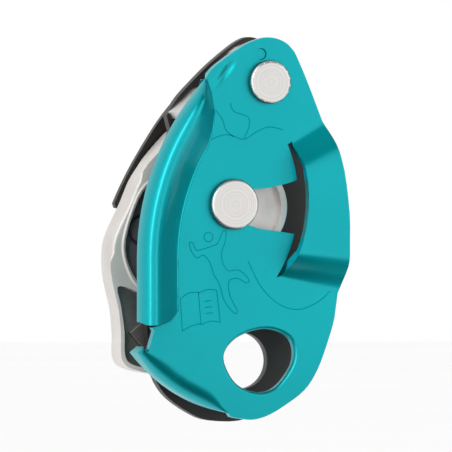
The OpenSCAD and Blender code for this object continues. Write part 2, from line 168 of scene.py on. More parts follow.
# %% Grain: fine bumps and slow patches
def make_grain():
    """Fine grain as a normal, with a slow patchy value beside it."""
    group, inside, out = new_group(
        "grain",
        [("Scale", 2500.0), ("Depth", 0.3), ("Patch Scale", 60.0)],
        [("Normal", "NodeSocketVector"), ("Fine", "NodeSocketFloat"), ("Patches", "NodeSocketFloat")],
    )
    place = group.nodes.new("ShaderNodeTexCoord")
    fine = group.nodes.new("ShaderNodeTexNoise")
    fine.inputs["Detail"].default_value = 3
    group.links.new(place.outputs["Object"], fine.inputs["Vector"])
    group.links.new(inside.outputs["Scale"], fine.inputs["Scale"])
    slow = group.nodes.new("ShaderNodeTexNoise")
    slow.inputs["Detail"].default_value = 4
    group.links.new(place.outputs["Object"], slow.inputs["Vector"])
    group.links.new(inside.outputs["Patch Scale"], slow.inputs["Scale"])
    bump = group.nodes.new("ShaderNodeBump")
    bump.inputs["Distance"].default_value = 0.00004
    group.links.new(inside.outputs["Depth"], bump.inputs["Strength"])
    group.links.new(fine.outputs["Fac"], bump.inputs["Height"])
    group.links.new(bump.outputs["Normal"], out.inputs["Normal"])
    group.links.new(fine.outputs["Fac"], out.inputs["Fine"])
    group.links.new(slow.outputs["Fac"], out.inputs["Patches"])
    return group


grain_group = make_grain()


# %% Lathe marks: rings round a pin's own axis
def make_lathe_marks():
    """Fine rings round a centre given in metres, as a face turned on a lathe has."""
    group, inside, out = new_group(
        "lathe_marks",
        [("Centre X", 0.0), ("Centre Z", 0.0), ("Rings", 9000.0), ("Depth", 0.25)],
        [("Normal", "NodeSocketVector"), ("Ring", "NodeSocketFloat")],
    )
    place = group.nodes.new("ShaderNodeTexCoord")
    split = group.nodes.new("ShaderNodeSeparateXYZ")
    group.links.new(place.outputs["Object"], split.inputs[0])
    dx = math_node(group, "SUBTRACT", split.outputs["X"], inside.outputs["Centre X"])
    dz = math_node(group, "SUBTRACT", split.outputs["Z"], inside.outputs["Centre Z"])
    dx_squared = math_node(group, "MULTIPLY", dx, dx)
    dz_squared = math_node(group, "MULTIPLY", dz, dz)
    squares = math_node(group, "ADD", dx_squared, dz_squared)
    radius = math_node(group, "SQRT", squares)
    along = math_node(group, "MULTIPLY", radius, inside.outputs["Rings"])
    ragged = group.nodes.new("ShaderNodeTexNoise")
    ragged.noise_dimensions = "1D"
    ragged.inputs["Scale"].default_value = 1.0
    ragged.inputs["Detail"].default_value = 4
    group.links.new(along, ragged.inputs["W"])
    bump = group.nodes.new("ShaderNodeBump")
    bump.inputs["Distance"].default_value = 0.00005
    group.links.new(inside.outputs["Depth"], bump.inputs["Strength"])
    group.links.new(ragged.outputs["Fac"], bump.inputs["Height"])
    group.links.new(bump.outputs["Normal"], out.inputs["Normal"])
    group.links.new(ragged.outputs["Fac"], out.inputs["Ring"])
    return group


lathe_group = make_lathe_marks()


# %% Press wrinkle: a shallow dent with soft ends
def make_press_wrinkle():
    """The height of a long shallow dent, given its centre, direction and size in metres."""
    group, inside, out = new_group(
        "press_wrinkle",
        [("Centre X", 0.0), ("Centre Z", 0.0), ("Turn", 0.0), ("Length", 0.004), ("Width", 0.001)],
        [("Height", "NodeSocketFloat")],
    )
    place = group.nodes.new("ShaderNodeTexCoord")
    split = group.nodes.new("ShaderNodeSeparateXYZ")
    group.links.new(place.outputs["Object"], split.inputs[0])
    dx = math_node(group, "SUBTRACT", split.outputs["X"], inside.outputs["Centre X"])
    dz = math_node(group, "SUBTRACT", split.outputs["Z"], inside.outputs["Centre Z"])
    cosine = math_node(group, "COSINE", inside.outputs["Turn"])
    sine = math_node(group, "SINE", inside.outputs["Turn"])
    dx_part = math_node(group, "MULTIPLY", dx, cosine)
    dz_part = math_node(group, "MULTIPLY", dz, sine)
    along_it = math_node(group, "ADD", dx_part, dz_part)
    across = math_node(
        group, "SUBTRACT", math_node(group, "MULTIPLY", dz, cosine), math_node(group, "MULTIPLY", dx, sine)
    )
    far = math_node(group, "POWER", math_node(group, "DIVIDE", along_it, inside.outputs["Length"]), 2.0)
    wide = math_node(group, "POWER", math_node(group, "DIVIDE", across, inside.outputs["Width"]), 2.0)
    fall = math_node(group, "MULTIPLY", math_node(group, "ADD", far, wide), -1.0)
    group.links.new(math_node(group, "EXPONENT", fall), out.inputs["Height"])
    return group


wrinkle_group = make_press_wrinkle()

# %% [markdown]
# ## The finishes
#
# Each finish is one short function. A shared starter places the Principled shader, and the finish
# then links its own grain into colour, roughness and normal.


# %% A starter for every finish
def new_finish(name, metallic, roughness):
    """A material with its Principled shader, and the tree to add to."""
    material = bpy.data.materials.new(name)
    material.use_nodes = True
    tree = material.node_tree
    shader = tree.nodes["Principled BSDF"]
    shader.inputs["Metallic"].default_value = metallic
    shader.inputs["Roughness"].default_value = roughness
    return material, tree, shader


def use_group(tree, group, **values):
    """A group node with some of its inputs set by name, with _ for a space."""
    node = tree.nodes.new("ShaderNodeGroup")
    node.node_tree = group
    for label, value in values.items():
        node.inputs[label.replace("_", " ")].default_value = value
    return node


def two_tones(tree, shader, value, dark, light, low=0.35, high=0.65):
    """Runs the base colour between two tones by a value."""
    ramp = tree.nodes.new("ShaderNodeValToRGB")
    ramp.color_ramp.elements[0].position = low
    ramp.color_ramp.elements[0].color = (*dark, 1)
    ramp.color_ramp.elements[1].position = high
    ramp.color_ramp.elements[1].color = (*light, 1)
    tree.links.new(value, ramp.inputs["Fac"])
    tree.links.new(ramp.outputs["Color"], shader.inputs["Base Color"])


def vary_roughness(tree, shader, value, smooth, rough):
    """Runs the roughness between two values."""
    spread = tree.nodes.new("ShaderNodeMapRange")
    spread.inputs["To Min"].default_value = smooth
    spread.inputs["To Max"].default_value = rough
    tree.links.new(value, spread.inputs["Value"])
    tree.links.new(spread.outputs["Result"], shader.inputs["Roughness"])


# %% Turquoise anodised sheet
def turquoise_anodised():
    material, tree, shader = new_finish("turquoise_anodised", 1.0, 0.46)
    marks = use_group(tree, grain_group, Scale=5200.0, Depth=0.22, Patch_Scale=45.0)
    two_tones(tree, shader, marks.outputs["Patches"], (0.0, 0.385, 0.43), (0.0, 0.415, 0.46))
    vary_roughness(tree, shader, marks.outputs["Patches"], 0.4, 0.5)
    dent = use_group(tree, wrinkle_group, Centre_X=-9.3 * MM, Centre_Z=76.2 * MM, Turn=math.radians(52),
                     Length=3.6 * MM, Width=0.95 * MM)
    bump = tree.nodes.new("ShaderNodeBump")
    bump.inputs["Distance"].default_value = 0.8 * MM
    bump.inputs["Strength"].default_value = 1.0
    bump.invert = True
    tree.links.new(dent.outputs["Height"], bump.inputs["Height"])
    tree.links.new(marks.outputs["Normal"], bump.inputs["Normal"])
    tree.links.new(bump.outputs["Normal"], shader.inputs["Normal"])
    shader.inputs["Coat Weight"].default_value = 0.35
    shader.inputs["Coat Roughness"].default_value = 0.14
    return material


# %% Steel and castings
def blasted_metal(name, dark, light, smooth, rough, grain_scale, depth):
    """Bare metal with a fine blasted or tumbled grain."""
    material, tree, shader = new_finish(name, 1.0, rough)
    marks = use_group(tree, grain_group, Scale=grain_scale, Depth=depth, Patch_Scale=90.0)
    two_tones(tree, shader, marks.outputs["Patches"], dark, light)
    vary_roughness(tree, shader, marks.outputs["Fine"], smooth, rough)
    tree.links.new(marks.outputs["Normal"], shader.inputs["Normal"])
    return material


def turned_steel(name, x, z):
    """A lathe-faced pin head with fine rings about its own axis."""
    material, tree, shader = new_finish(name, 1.0, 0.34)
    rings = use_group(tree, lathe_group, Centre_X=x * MM, Centre_Z=z * MM, Rings=5200.0, Depth=0.35)
    two_tones(tree, shader, rings.outputs["Ring"], (0.56, 0.54, 0.525), (0.82, 0.805, 0.79))
    vary_roughness(tree, shader, rings.outputs["Ring"], 0.3, 0.42)
    tree.links.new(rings.outputs["Normal"], shader.inputs["Normal"])
    return material


# %% Coated and moulded surfaces
def coated(name, dark, light, smooth, rough, grain_scale, depth, metallic=0.0):
    """A coating or a moulding: not metal on top, with its own grain."""
    material, tree, shader = new_finish(name, metallic, rough)
    marks = use_group(tree, grain_group, Scale=grain_scale, Depth=depth, Patch_Scale=70.0)
    two_tones(tree, shader, marks.outputs["Patches"], dark, light)
    vary_roughness(tree, shader, marks.outputs["Patches"], smooth, rough)
    tree.links.new(marks.outputs["Normal"], shader.inputs["Normal"])
    return material


# %% Mix all the finishes
finishes = {
    "turquoise_anodised": turquoise_anodised(),
    "dark_plate": coated("dark_plate", (0.009, 0.0065, 0.006), (0.015, 0.011, 0.01),
        0.4, 0.5, 4200.0, 0.3),
    "black_moulding": coated("black_moulding", (0.009, 0.0075, 0.007), (0.015, 0.0125, 0.0115),
        0.36, 0.5, 2400.0, 0.4),
    "engraved_line": coated("engraved_line", (0.0, 0.23, 0.26), (0.0, 0.28, 0.31),
        0.5, 0.6, 4200.0, 0.2, 1.0),
    "grey_moulding": coated("grey_moulding", (0.058, 0.06, 0.07), (0.08, 0.082, 0.092),
        0.42, 0.58, 2600.0, 0.5),
    "plain_steel": blasted_metal("plain_steel", (0.5, 0.49, 0.48), (0.62, 0.61, 0.6),
        0.26, 0.36, 3600.0, 0.2),
    "spring_steel": blasted_metal("spring_steel", (0.3, 0.3, 0.31), (0.42, 0.42, 0.43),
        0.24, 0.34, 5200.0, 0.2),
    "cast_steel": blasted_metal("cast_steel", (0.62, 0.6, 0.58), (0.74, 0.72, 0.7),
        0.3, 0.44, 2600.0, 0.6),
    "satin_alloy": blasted_metal("satin_alloy", (0.68, 0.66, 0.63), (0.78, 0.765, 0.74),
        0.24, 0.36, 3200.0, 0.35),
    "rough_cast": blasted_metal("rough_cast", (0.2, 0.19, 0.18), (0.34, 0.32, 0.3),
        0.38, 0.6, 1500.0, 1.0),
    "bronze": blasted_metal("bronze", (0.42, 0.27, 0.11), (0.56, 0.38, 0.18),
        0.28, 0.4, 3600.0, 0.25),
    # A near-black steel for the side walls of the pin heads. This is painted shade for the dark crescent
    # round each head.
    "painted_shade_steel": blasted_metal("painted_shade_steel", (0.1, 0.09, 0.085), (0.17, 0.155, 0.145),
        0.4, 0.55, 2600.0, 0.5),
    # The cam's steel is the cast steel made darker. This is painted shade standing in for the cam's dark
    # groove.
    "cam_steel_painted_shade": blasted_metal("cam_steel_painted_shade", (0.44, 0.425, 0.41), (0.58, 0.565, 0.55),
        0.3, 0.44, 2600.0, 0.6),
    "cast_alloy": coated("cast_alloy", (0.56, 0.53, 0.5), (0.66, 0.635, 0.61),
        0.36, 0.5, 3000.0, 0.5, 0.35),
    "axle_head_steel": turned_steel("axle_head_steel", axle_x, axle_z),
    "rivet_head_steel": turned_steel("rivet_head_steel", rivet_x, rivet_z),
}
print("finishes:", ", ".join(finishes))

# %% [markdown]
# ## Broken edges on machined parts
#
# No real part has a knife edge: stamping, tumbling and hand work leave a small radius that catches
# the light. The exact solid is copied, its loose triangles are welded, flat faces are joined again,
# and a Bevel modifier rounds what is left sharp. The copy then stands for the exact part.


# %% Round the edges of a part
def round_edges(piece, radius, segments=3, sharp_angle=40.0):
    """Rounds whatever is still sharp, and keeps the large flat faces flat in the light."""
    bevel = piece.modifiers.new("rounded_edges", "BEVEL")
    bevel.width = radius * MM
    bevel.segments = segments
    bevel.limit_method = "ANGLE"
    bevel.angle_limit = math.radians(sharp_angle)
    flat = piece.modifiers.new("flat_faces", "WEIGHTED_NORMAL")
    flat.keep_sharp = False
    flat.weight = 100
    return piece


def with_broken_edges(node, finish, radius, segments=2, flat_angle=1.0, sharp_angle=32.0, side_shade_finish=None):
    """A copy of a part with its sharp edges rounded, riding where the part rides."""
    source = nodes[node]
    mesh = source.data.copy()
    piece = bpy.data.objects.new(node + "_finished", mesh)
    bpy.context.scene.collection.objects.link(piece)
    shape = bmesh.new()
    shape.from_mesh(mesh)
    bmesh.ops.remove_doubles(shape, verts=shape.verts, dist=0.000002)
    bmesh.ops.dissolve_limit(
        shape, angle_limit=math.radians(flat_angle), verts=shape.verts, edges=shape.edges, delimit={"NORMAL"}
    )
    for face in shape.faces:
        face.smooth = True
    for edge in shape.edges:
        edge.smooth = edge.calc_face_angle(0) < math.radians(sharp_angle)
    shape.to_mesh(mesh)
    shape.free()
    mesh.materials.clear()
    mesh.materials.append(finishes[finish])
    # Side walls standing in front of the plate get a second, darker finish: painted shade on the sides of the
    # pin heads.
    if side_shade_finish:
        mesh.materials.append(finishes[side_shade_finish])
        for face in mesh.polygons:
            if abs(face.normal.y) < 0.3 and face.center.y < (plate_front - 0.1) * MM:
                face.material_index = 1
    round_edges(piece, radius, segments, sharp_angle)
    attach(piece, source["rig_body"])
    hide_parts(node)
    return piece

# %% [markdown]
# ## Shaping sheet metal
#
# The front plate is one pressed sheet, so it is modelled the way it is made: a flat blank with its
# holes, then a rolled lip, a band pushed out, and an edge folded back. Only the front skin is drawn.
# Each pressed region is skinned between rows of points, welded to the blank, and the finished skin
# is given the sheet's thickness, so that every bend keeps an even wall.

# %% Curves to lay out an outline
def blend(a, b, c, d, t):
    """A point between b and c on a smooth curve through four points."""
    return tuple(
        0.5 * (2 * q + (r - p) * t + (2 * p - 5 * q + 4 * r - s) * t * t + (3 * q - p - 3 * r + s) * t**3)
        for p, q, r, s in zip(a, b, c, d)
    )


def smooth_line(points, steps=6):
    """A smooth open line through points."""
    last = len(points) - 1
    line = []
    for i in range(last):
        four = points[max(i - 1, 0)], points[i], points[i + 1], points[min(i + 2, last)]
        line += [blend(*four, s / steps) for s in range(steps)]
    return line + [tuple(points[last])]


def smooth_ring(points, steps=6):
    """A smooth closed line through points."""
    n = len(points)
    return [
        blend(points[i - 1], points[i], points[(i + 1) % n], points[(i + 2) % n], s / steps)
        for i in range(n)
        for s in range(steps)
    ]


def arc(x, z, r, a0, a1, steps):
    """Points on an arc, angles in degrees from +X towards +Z."""
    angles = [math.radians(a0 + (a1 - a0) * i / steps) for i in range(steps + 1)]
    return [(x + r * math.cos(a), z + r * math.sin(a)) for a in angles]


def between(a, b, t):
    """A point a share t of the way from a to b."""
    return tuple(p + (q - p) * t for p, q in zip(a, b))


def resample(points, count):
    """The same open line cut into count equal pieces."""
    lengths = [0.0]
    for p, q in zip(points, points[1:]):
        lengths.append(lengths[-1] + math.dist(p, q))
    line, i = [], 0
    for k in range(count + 1):
        target = lengths[-1] * k / count
        while i < len(points) - 2 and lengths[i + 1] < target:
            i += 1
        share = (target - lengths[i]) / max(lengths[i + 1] - lengths[i], 1e-9)
        line.append(between(points[i], points[i + 1], min(max(share, 0), 1)))
    return line


def ease(t):
    """A soft start and a soft stop from 0 to 1."""
    t = min(max(t, 0), 1)
    return t * t * (3 - 2 * t)


# %% Turning points into edges and skin
def add_line(shape, points, closed=False):
    """A chain of edges through points given in millimetres."""
    verts = [shape.verts.new(mm(*p)) for p in points]
    pairs = list(zip(verts, verts[1:])) + ([(verts[-1], verts[0])] if closed else [])
    return [shape.edges.new(pair) for pair in pairs]


def skin(shape, rows, closed=False):
    """Faces from each row of points to the next."""
    lines = [add_line(shape, row, closed) for row in rows]
    for one, two in zip(lines, lines[1:]):
        bmesh.ops.bridge_loops(shape, edges=one + two)
    return lines


def weld(shape, distance=0.000004):
    """Joins points that lie on top of one another."""
    bmesh.ops.remove_doubles(shape, verts=shape.verts, dist=distance)


def make_piece(name, shape, finish, node=None, body=None, sharp_angle=40.0):
    """Turns a bmesh into an object that rides a body and, where given, stands for a node."""
    for face in shape.faces:
        face.smooth = True
    for edge in shape.edges:
        edge.smooth = edge.smooth and edge.calc_face_angle(0) < math.radians(sharp_angle)
    mesh = bpy.data.meshes.new(name)
    shape.to_mesh(mesh)
    shape.free()
    mesh.materials.append(finishes[finish])
    piece = bpy.data.objects.new(name, mesh)
    bpy.context.scene.collection.objects.link(piece)
    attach(piece, body or nodes[node]["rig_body"])
    if node:
        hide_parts(node)
    return piece

# %% [markdown]
# ### The rolled lip
#
# Along the left edge the sheet is pressed forward into a half-round bead. Its foot is a crisp
# crease, it climbs on a slope, rounds over its crest and drops to the plate's rim. The bead runs
# straight at the bottom, bends with the plate, and fades out near the top. Rows of the same section
# are laid along that path, and the section shrinks where the bead fades.

# %% Lay out the lip
LIP_BEND = (33.4, 27.0)
LIP_OUTER_R = 67.9
LIP_SECTION = [
    # distance out from the crease, height over the plate
    (0, 0), (0.2, 0.22), (0.5, 0.12), (1.1, 0.45), (3, 1.8), (5, 3.5), (7, 5.1), (8.6, 6.15), (9.9, 6.5),
    (11.1, 6.2), (12.1, 5.3), (12.75, 3.9), (13, 2.2), (13, 0.6),
]
LIP_WIDTH = 13.0
LIP_CREASE_R = 56.0
LIP_FADE = [(0, LIP_CREASE_R), (32, LIP_CREASE_R), (36, 57.2), (40, 59.6), (43, 63.8), (44.6, 67.5)]
LIP_FOOT = [(0, 13.6), (2, 11.1), (5, 10.1), (8.6, 9.6), (11.4, 9.5), (12.5, 9.8), (13, 10.4)]


def lookup(table, x):
    """Straight-line lookup in a short table of pairs."""
    for (x0, y0), (x1, y1) in zip(table, table[1:]):
        if x <= x1:
            return y0 + (y1 - y0) * max(x - x0, 0) / (x1 - x0)
    return table[-1][1]


def lip_row(z=None, angle=None, foot=1.0, fade=False):
    """One section of the lip, at a height on its straight part or at an angle on its bend."""
    row = []
    crease_r = lookup(LIP_FADE, angle or 0)
    share = (LIP_OUTER_R - crease_r) / LIP_WIDTH
    rise = ease((LIP_OUTER_R - crease_r) / (LIP_OUTER_R - LIP_CREASE_R)) if fade else 1.0
    for u, height in LIP_SECTION:
        r = crease_r + u * share
        if angle is None:
            low = lookup(LIP_FOOT, u)
            row.append((LIP_BEND[0] - r, plate_front - height, low + (z - low) * foot))
        else:
            a = math.radians(180 - angle)
            x, up = LIP_BEND[0] + r * math.cos(a), LIP_BEND[1] + r * math.sin(a)
            row.append((x, plate_front - height * rise, up))
    return row


lip_rows = [lip_row(z=18, foot=share) for share in (0, 0.2, 0.4, 0.6, 0.8, 1)]
lip_rows += [lip_row(z=z) for z in (20, 22, 24, 26)]
lip_rows += [lip_row(angle=a) for a in (0.01, 3, 6, 9, 12, 15, 18, 21, 24, 27, 30, 32)]
lip_rows += [lip_row(angle=a, fade=True) for a in list(range(33, 44)) + [43.8, 44.6]]
lip_rows[-1] = [(x, plate_front, z) for x, _, z in lip_rows[-1]]
crease = [(row[0][0], row[0][2]) for row in lip_rows]
print("lip: %d sections of %d points" % (len(lip_rows), len(LIP_SECTION)))

# %% [markdown]
# ### The raised band
#
# On the right a curved cut frees the sheet, and the strip beyond it is pushed forward to make a
# bridge over the cam. It leaves the plate on a ramp at each end. The ramp is laid out as rows that
# run from the cut to the plate's edge, and each row's height follows a soft step.

# %% Lay out the band
CUT = (-26.0, 42.5)
SLIT_R = 36.9
BAND_R = 37.9
BAND_STEPS = 6
RIGHT_EDGE = [(22.0, 17.9), (22.9, 20.5), (23.4, 24), (23.4, 28), (23.4, 32), (23.4, 37.6), (22.8, 43.9),
              (21.9, 50), (20.6, 55), (19.3, 59.5), (17.6, 63.4)]
BAND_ROWS = [
    # share of the way up the edge, height of the row over the plate
    (0.0, 0.0), (0.04, 0.3), (0.08, 1.3), (0.115, 2.7), (0.15, 4.1), (0.185, 5.1), (0.22, 5.5), (0.3, 5.5),
    (0.38, 5.5), (0.46, 5.5), (0.54, 5.5), (0.62, 5.5), (0.7, 5.5), (0.78, 5.5), (0.82, 5.2), (0.86, 4.3),
    (0.9, 2.9), (0.94, 1.5), (0.97, 0.5), (1.0, 0.0),
]
band_inner = arc(*CUT, BAND_R, -32.6, 23.6, 60)
band_inner = [(4.9, 22.0)] + [p for p in band_inner if 22.6 < p[1] < 57.4] + [(9.2, 57.9)]
band_outer = smooth_line(RIGHT_EDGE, 8)


def along(line, share):
    """The point a share of the way along a line."""
    cut = resample(line, 100)
    low = int(share * 100)
    return between(cut[min(low, 99)], cut[min(low, 99) + 1], share * 100 - min(low, 99))


band_rows = []
for share, height in BAND_ROWS:
    inner, outer = along(band_inner, share), along(band_outer, share)
    spots = [between(inner, outer, k / BAND_STEPS) for k in range(BAND_STEPS + 1)]
    band_rows.append([(x, plate_front - height, z) for x, z in spots])
print("band: %d rows, %.1f mm proud" % (len(band_rows), max(height for _, height in BAND_ROWS)))

# %% [markdown]
# ### The folded lower edge
#
# At the lower left the sheet is folded back over a wide radius to stiffen the nose and keep rope
# off it. The fold follows an arc of the outline. Each row steps round the bend and then goes
# straight back, and the fold eases out to nothing at its right end.

# %% Lay out the fold
FOLD = (3.2, 38.3)
FOLD_RADIUS = [(224, 51.2), (233, 52.3), (242, 52.8), (254, 53.2), (262, 53.7)]
FOLD_BEND = 4.6
FOLD_DEPTH = 7.4
FOLD_END = [(249, 0.97), (251, 0.86), (253, 0.62), (254.5, 0.34), (256, 0.14), (257, 0.04)]
# angle on the arc, share of the full bend, share of the full depth
fold_spots = [(226.2, 0.45, 1.0), (228, 0.62, 1.0), (231, 0.86, 1.0)]
fold_spots += [(a, 1.0, 1.0) for a in (234, 238, 242, 246)]
fold_spots += [(a, share, share) for a, share in FOLD_END]
FOLD_STEPS = 8
FOLD_LEAN = 2.2


def fold_column(angle, size, reach):
    """Points from the flat sheet round the bend and back, at one angle on the arc."""
    outer = lookup(FOLD_RADIUS, angle)
    bend = FOLD_BEND * size
    lean = FOLD_LEAN * max(0, 1 - (angle - fold_spots[0][0]) / 6)
    column = []
    for k in range(FOLD_STEPS + 1):
        turn = math.radians(90) * k / FOLD_STEPS
        column.append((outer - bend + bend * math.sin(turn), plate_front + bend * (1 - math.cos(turn))))
    column.append((outer, plate_front + max(FOLD_DEPTH * reach, bend * 1.2)))
    points = []
    for k, (r, y) in enumerate(column):
        a = math.radians(angle - lean * k / len(column))
        points.append((FOLD[0] + r * math.cos(a), y, FOLD[1] + r * math.sin(a)))
    return points


fold_columns = [fold_column(*spot) for spot in fold_spots]
fold_rows = [list(row) for row in zip(*fold_columns)]
fold_line = [(x, z) for x, _, z in fold_rows[0]]
print("fold: %d rows" % len(fold_rows))

# %% [markdown]
# ### The blank and its holes
#
# The flat web joins all three pressed regions, so its outline takes their first rows point for
# point. The eye for the carabiner is a rounded D. The slot lets the axle's neck out when the plate
# swings, and it opens into the curved cut.

# %% Lay out the blank
apex = smooth_line([
    (-14.3, 75.7), (-12.6, 77.5), (-9.8, 79.6), (-6.7, 81.7), (-3.1, 83.8), (0, 84.9), (2.1, 85.3),
    (4.8, 85.0), (7.4, 83.9), (9.2, 82.2), (10.4, 80.4), (13.6, 73.3), (17.6, 63.4)], 4)
slit_top = list(reversed(arc(*CUT, SLIT_R, 8.3, 23.4, 12)))
slot_high = smooth_line([(10.5, 47.8), (8.1, 46.9), (2.1, 45.6), (-2, 45.4), (-5, 46.1)], 4)
SLOT_HALF = 5.4
slot_end = arc(axle_x, axle_z, SLOT_HALF, 64, 305, 24)
slot_low = smooth_line([(-3.9, 36.2), (0, 34.9), (4.5, 34.3), (9.7, 33.5)], 4)
slit_low = arc(*CUT, SLIT_R, -14.2, -32.6, 14)
right_low = smooth_line([
    (22.0, 17.9), (21.5, 14.4), (20.9, 10.6), (19.4, 5.7), (16.4, -2.1), (12.6, -7.7), (6.6, -12),
    (2.1, -14.4), (-1.9, -15.4), (-5.4, -15.1), (-8.0, -14.6)], 4)
nose = [(-30.2, 5.4), (-29.4, 8.0), (-29.9, 8.9), (-27, 9.7), (-24.6, 11.2)]

band_low = [(x, z) for x, _, z in band_rows[0]]
band_high = [(x, z) for x, _, z in band_rows[-1]]
outline = (
    crease
    + [(x, z) for x, _, z in lip_rows[-1]]
    + apex
    + list(reversed(band_high))
    + slit_top
    + slot_high
    + slot_end
    + slot_low
    + slit_low
    + band_low
    + right_low
    + list(reversed(fold_line))
    + nose
)
outline = [p for i, p in enumerate(outline) if math.dist(p, outline[i - 1]) > 0.02]
eye = smooth_ring([
    (-9.8, 0.7), (-7.4, 5.2), (-2, 7.9), (3.6, 8.3), (8.4, 6.2), (9.9, 2.4), (8.8, -2), (4.4, -7.1),
    (-1, -8.1), (-6.6, -5.6)], 6)
RIVET_HOLE_R = 4.05
rivet_hole = arc(rivet_x, rivet_z, RIVET_HOLE_R, 0, 350, 35)
MARK = (0.45, 80.9)
MARK_R = 1.55
mark_hole = arc(*MARK, MARK_R, 0, 345, 23)
print("blank: %d points" % len(outline))


# %% Press the plate
def at_front(points):
    """Flat points on the plate's front face."""
    return [(x, plate_front, z) for x, z in points]


plate = bmesh.new()
for ring_points in (outline, eye, rivet_hole, mark_hole):
    add_line(plate, at_front(ring_points), closed=True)
bmesh.ops.triangle_fill(plate, edges=plate.edges[:], use_beauty=True)
bmesh.ops.dissolve_limit(plate, angle_limit=math.radians(0.5), verts=[], edges=plate.edges[:])
skin(plate, lip_rows)
skin(plate, band_rows)
skin(plate, fold_rows)
weld(plate, 0.00001)
bmesh.ops.recalc_face_normals(plate, faces=plate.faces[:])
flat = max(plate.faces, key=lambda face: face.calc_area())
if flat.normal.y > 0:
    bmesh.ops.reverse_faces(plate, faces=plate.faces[:])
loose = [e for e in plate.edges if not e.link_faces]
print("plate skin: %d faces, %d loose edges" % (len(plate.faces), len(loose)))
bmesh.ops.solidify(plate, geom=plate.faces[:], thickness=plate_t * MM)
EYE_REACH = 0.0112


def on_eye_rim(vert):
    """True for a point on the front face within reach of the eye."""
    return abs(vert.co.y - plate_front * MM) < 1e-6 and math.hypot(vert.co.x, vert.co.z) < EYE_REACH


eye_rim = [e for e in plate.edges if all(map(on_eye_rim, e.verts)) and e.calc_face_angle(0) > 1]
bmesh.ops.bevel(plate, geom=eye_rim, offset=1.0 * MM, segments=5, affect="EDGES", profile=0.5, material=-1)
front_sheet = make_piece("pressed_side_plate", plate, "turquoise_anodised", node="moving_side_plate")
round_edges(front_sheet, 0.35)
print("plate: eye rim of %d edges rounded" % len(eye_rim))

# %% [markdown]
# ### Marks on the front plate
#
# A small disc is half pushed through the sheet above the rivet. Simple instruction drawings are
# engraved on the flat: a climbing figure, an open booklet and a rope line, all plain and generic.
# An engraved line is hardly deep at all, so each is a narrow ribbon a hair above the anodising.

# %% Press the half-pierced disc
DISC_R = MARK_R - 0.03
DISC_T = 2.3
DISC_SUNK = 0.55
disc = bmesh.new()
bmesh.ops.create_cone(disc, cap_ends=True, segments=48, radius1=DISC_R * MM, radius2=DISC_R * MM,
                      depth=DISC_T * MM)
bmesh.ops.rotate(disc, verts=disc.verts[:], matrix=Matrix.Rotation(math.radians(90), 3, "X"))
bmesh.ops.translate(disc, verts=disc.verts[:], vec=mm(MARK[0], plate_front + DISC_SUNK + DISC_T / 2, MARK[1]))
round_edges(make_piece("half_pierced_disc", disc, "turquoise_anodised", body="front_plate"), 0.15)


# %% Engrave the drawings
def offset_line(points, distance, closed=False):
    """The same line moved sideways."""
    moved = []
    last = len(points) - 1
    for i, (x, z) in enumerate(points):
        before = points[i - 1] if (i > 0 or closed) else points[0]
        after = points[(i + 1) % len(points)] if (i < last or closed) else points[last]
        dx, dz = after[0] - before[0], after[1] - before[1]
        size = max(math.hypot(dx, dz), 1e-9)
        moved.append((x - dz / size * distance, z + dx / size * distance))
    return moved


LINE_WIDTH = 0.24
LINE_LIFT = 0.012
figure = smooth_ring([
    (-15.6, 27.9), (-17.6, 27.2), (-19.0, 28.9), (-19.7, 31.2), (-18.6, 31.0), (-17.9, 29.3), (-16.2, 29.4),
    (-13.4, 30.3), (-11.6, 31.2), (-10.4, 34.0), (-9.4, 34.2), (-9.6, 31.6), (-10.6, 28.8), (-10.4, 26.2),
    (-8.8, 23.8), (-5.8, 24.0), (-3.0, 21.6), (-3.6, 20.6), (-6.2, 21.8), (-8.6, 21.0), (-8.2, 17.0),
    (-6.2, 13.2), (-7.3, 12.8), (-10.0, 16.2), (-11.2, 20.2), (-12.9, 23.0), (-13.8, 25.8)], 3)
head = smooth_ring(arc(-14.3, 32.7, 1.25, 0, 330, 11), 2)
booklet = [
    smooth_line([
        (-22.2, 16.4), (-19.8, 18.0), (-17.2, 18.2), (-17.0, 18.0), (-14.6, 18.9), (-12.0, 18.7)], 4),
    smooth_line([
        (-21.6, 8.0), (-19.2, 9.3), (-16.6, 9.9), (-16.3, 9.7), (-13.8, 10.6), (-11.0, 10.3)], 4),
    [(-22.2, 16.4), (-21.6, 8.0)], [(-17.1, 18.1), (-16.4, 9.8)], [(-12.0, 18.7), (-11.0, 10.3)],
    [(-15.4, 15.8), (-13.4, 16.0)], [(-15.3, 14.2), (-13.2, 14.4)], [(-15.1, 12.6), (-13.1, 12.8)],
]
rope_lines = [
    smooth_line([(-3.2, 26.4), (0.5, 19.5), (5.5, 15.0), (11, 13.6), (16.5, 15.6), (20.4, 19.0)], 6),
    smooth_line([
        (-15.4, 57.2), (-12, 59.0), (-8.6, 59.6), (-4.4, 58.4), (-1.2, 60.2), (2.6, 61.7), (6.6, 60.9)], 6),
    smooth_line([(-12.6, 66.4), (-10.4, 63.6), (-9.4, 60.8), (-7.2, 59.0)], 5),
    smooth_line([(-8.2, 68.0), (-7.2, 65.8), (-3.4, 64.4), (-2.8, 62.6), (-3.4, 60.6), (-4.4, 58.6)], 5),
]
marks = bmesh.new()
drawings = [(figure, True), (head, True)] + [(line, False) for line in booklet + rope_lines]
for points, closed in drawings:
    sides = [offset_line(points, side * LINE_WIDTH / 2, closed) for side in (-1, 1)]
    skin(marks, [[(x, plate_front - LINE_LIFT, z) for x, z in side] for side in sides], closed)
for face in marks.faces:
    face.normal_update()
bmesh.ops.reverse_faces(marks, faces=[f for f in marks.faces if f.normal.y > 0])
engraving = make_piece("engraved_drawings", marks, "engraved_line", body="front_plate")
print("engraving: %d faces" % len(engraving.data.polygons))

# %% [markdown]
# ## Parts that only need their edges broken
#
# Most turned and stamped parts already have the right form, so they keep the exact shape and get a
# small radius and their finish.

